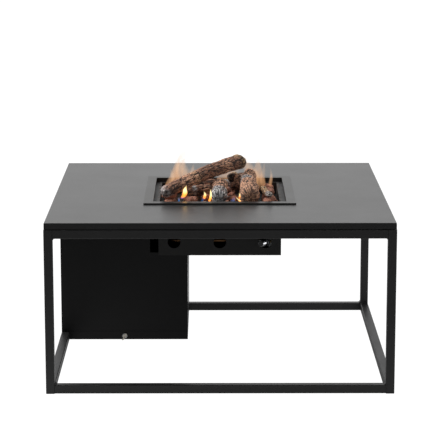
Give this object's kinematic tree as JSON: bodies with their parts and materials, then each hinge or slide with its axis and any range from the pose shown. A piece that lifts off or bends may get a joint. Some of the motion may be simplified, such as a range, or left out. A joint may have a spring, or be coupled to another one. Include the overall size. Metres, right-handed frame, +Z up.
{
  "type": "fire pit table",
  "caption": "Low square gas fire pit table: open steel cube frame, thin floating top, sunken square burner with logs and stones, bottle housing with a hinged door.",
  "frame": {"origin": "centre of the table's footprint, on the floor", "axes": "+Z up; -Y is the front, the side with the three holes of the burner box and the control knob; +X to the right seen from the front"},
  "size_m": [1, 1, 0.6045],
  "materials": {
    "frame_coat": "fine satin black powder coat",
    "tabletop_coat": "satin anthracite powder coat",
    "rim_coat": "satin anthracite powder coat",
    "panel_coat": "fine satin black powder coat",
    "box_coat": "satin black powder coat",
    "pan_coat": "heat resistant black paint, browned by the flames",
    "burner_steel": "stainless steel, heat tinted",
    "brass": "machined brass",
    "copper": "drawn copper",
    "zinc_cast": "die cast, matt",
    "zinc_steel": "zinc plated",
    "chrome": "polished chrome",
    "black_plastic": "moulded, matt",
    "lead_sleeve": "silicone sleeve",
    "white_ceramic": "glazed ceramic",
    "log_ceramic": "cast ceramic fibre, painted as bark, ash and cut wood",
    "lava": "rough porous lava rock"
  },
  "bodies": {
    "table": {"leg_front_left": "frame_coat", "leg_front_right": "frame_coat", "leg_rear_left": "frame_coat", "leg_rear_right": "frame_coat", "bottom_rail_front": "frame_coat", "bottom_rail_rear": "frame_coat", "bottom_rail_left": "frame_coat", "bottom_rail_right": "frame_coat", "top_rail_front": "frame_coat", "top_rail_rear": "frame_coat", "top_rail_left": "frame_coat", "top_rail_right": "frame_coat", "support_rail_left": "frame_coat", "support_rail_right": "frame_coat", "corner_welds": "frame_coat", "base_cross_rail": "frame_coat", "top_cross_rail": "frame_coat", "tabletop": "tabletop_coat", "tabletop_stiffeners": "tabletop_coat", "burner_rim": "rim_coat", "left_panel": "panel_coat", "rear_panel": "panel_coat", "right_panel": "panel_coat", "bottle_tray": "panel_coat", "hinge_brackets": "panel_coat", "burner_box": "box_coat", "box_flange": "box_coat", "burner_pan": "pan_coat", "burner_tube": "burner_steel", "mixer_tube": "burner_steel", "injector": "brass", "gas_inlet": "brass", "thermocouple": "brass", "supply_pipe": "copper", "burner_pipe": "copper", "thermocouple_lead": "copper", "valve_body": "zinc_cast", "tabletop_screws": "zinc_steel", "hinge_pins": "zinc_steel", "screw_insert": "zinc_steel", "valve_bracket": "zinc_steel", "leg_glides": "black_plastic", "tabletop_pads": "black_plastic", "igniter_lead": "lead_sleeve", "igniter_electrode": "white_ceramic", "log_top": "log_ceramic", "log_front": "log_ceramic", "log_right": "log_ceramic", "log_branch": "log_ceramic", "log_behind": "log_ceramic", "log_rear": "log_ceramic", "log_stub": "log_ceramic", "lava_stones": "lava"},
    "door": {"access_panel": "panel_coat"},
    "washer": {"captive_washer": "zinc_steel"},
    "screw": {"wing_screw": "zinc_steel"},
    "collar": {"push_collar": "zinc_steel"},
    "knob": {"control_knob": "chrome", "knob_face": "black_plastic", "valve_stem": "zinc_steel"}
  },
  "joints": [
    {"name": "door_swing", "type": "hinge", "parent": "table", "child": "door", "pos_m": [-0.35875, 0.106, 0.446], "axis": [-1, 0, 0], "range_deg": [0, 40]},
    {"name": "screw_travel", "type": "slide", "parent": "door", "child": "washer", "axis": [0, -1, 0], "range_m": [0, 0.006]},
    {"name": "screw_turn", "type": "hinge", "parent": "washer", "child": "screw", "pos_m": [-0.3, 0.0974, 0.013], "axis": [0, -1, 0], "range_deg": [0, 2160]},
    {"name": "knob_push", "type": "slide", "parent": "table", "child": "collar", "axis": [0.5736, 0.8192, 0], "range_m": [0, 0.004], "stiffness_N_per_m": 1500, "springref_m": -0.002},
    {"name": "knob_turn", "type": "hinge", "parent": "collar", "child": "knob", "pos_m": [0.1225, -0.198, 0.376], "axis": [-0.5736, -0.8192, 0], "range_deg": [0, 200]}
  ],
  "couplings": [
    {"joint": "screw_travel", "follows": "screw_turn", "m_per_rad": 0.00015915}
  ]
}
